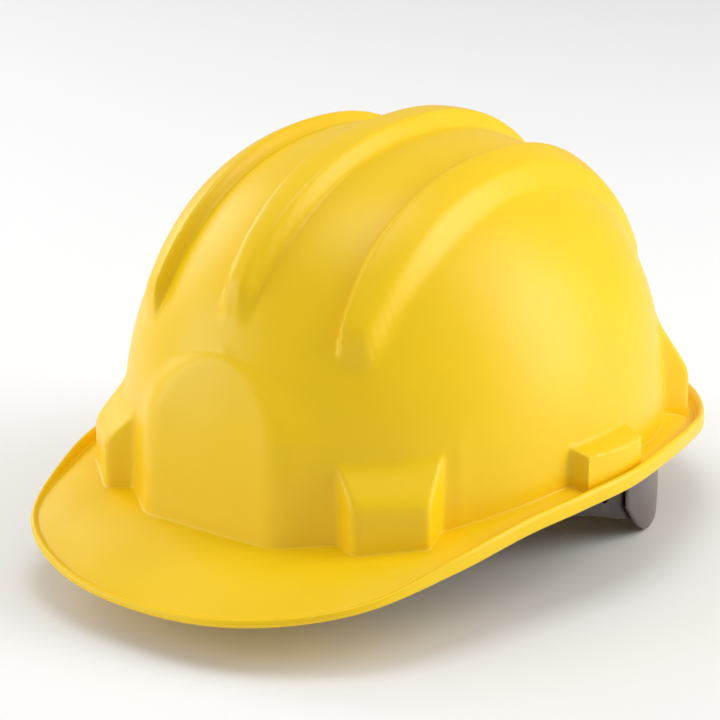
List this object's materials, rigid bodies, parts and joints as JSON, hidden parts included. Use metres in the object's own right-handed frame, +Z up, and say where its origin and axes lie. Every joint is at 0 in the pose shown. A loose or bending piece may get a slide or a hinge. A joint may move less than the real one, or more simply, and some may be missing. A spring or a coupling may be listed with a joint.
{
  "type": "hard hat",
  "caption": "Ribbed yellow hard hat with a front peak, rain gutter, six-point webbing cradle and a knob-adjusted nape harness",
  "frame": {"origin": "centre of the bounding box at its lowest level, where the two nape lobes meet the surface the hat is put down on", "axes": "+Z up through the crown, the peak points to -Y, +X is the wearer's left"},
  "size_m": [0.227, 0.305, 0.1699],
  "materials": {
    "shell_plastic": "satin moulded polyethylene, safety yellow",
    "harness_plastic": "semi-matt moulded polyethylene, brown-black",
    "nape_plastic": "glossy moulded polyethylene, dark brown-grey",
    "rack_plastic": "moulded nylon, dark grey",
    "webbing": "woven polyester webbing, charcoal",
    "padding": "foam-backed knitted fabric, charcoal",
    "gear_plastic": "natural acetal",
    "knob_plastic": "fine textured nylon, black-brown",
    "steel": "zinc-plated steel"
  },
  "bodies": {
    "hat": {"shell": "shell_plastic", "key_front_left": "harness_plastic", "key_front_right": "harness_plastic", "key_side_left": "harness_plastic", "key_side_right": "harness_plastic", "key_rear_left": "harness_plastic", "key_rear_right": "harness_plastic", "crown_strap_left": "webbing", "crown_strap_right": "webbing", "crown_strap_cross": "webbing", "crown_pad": "padding", "headband": "harness_plastic", "sweatband": "padding", "nape_strap": "nape_plastic", "nape_studs": "harness_plastic", "nape_pad": "padding", "ratchet_housing": "harness_plastic", "ratchet_cover": "harness_plastic", "detent_spring": "steel", "housing_screws": "steel"},
    "knob": {"adjuster_knob": "knob_plastic", "pinion": "gear_plastic", "knob_screw": "steel"},
    "left_rack": {"left_rack": "rack_plastic"},
    "right_rack": {"right_rack": "rack_plastic"}
  },
  "joints": [
    {"name": "knob_turn", "type": "hinge", "parent": "hat", "child": "knob", "pos_m": [0, 0.127, 0.016], "axis": [0, 1, 0], "range_deg": [-170, 170]},
    {"name": "left_rack_slide", "type": "hinge", "parent": "hat", "child": "left_rack", "pos_m": [0, 0.034, 0.016], "axis": [0, 0, 1], "range_deg": [-8, 8]},
    {"name": "right_rack_slide", "type": "hinge", "parent": "hat", "child": "right_rack", "pos_m": [0, 0.034, 0.016], "axis": [0, 0, 1], "range_deg": [-8, 8]}
  ],
  "couplings": [
    {"joint": "left_rack_slide", "follows": "knob_turn", "ratio": 0.04577},
    {"joint": "right_rack_slide", "follows": "knob_turn", "ratio": -0.04673}
  ]
}
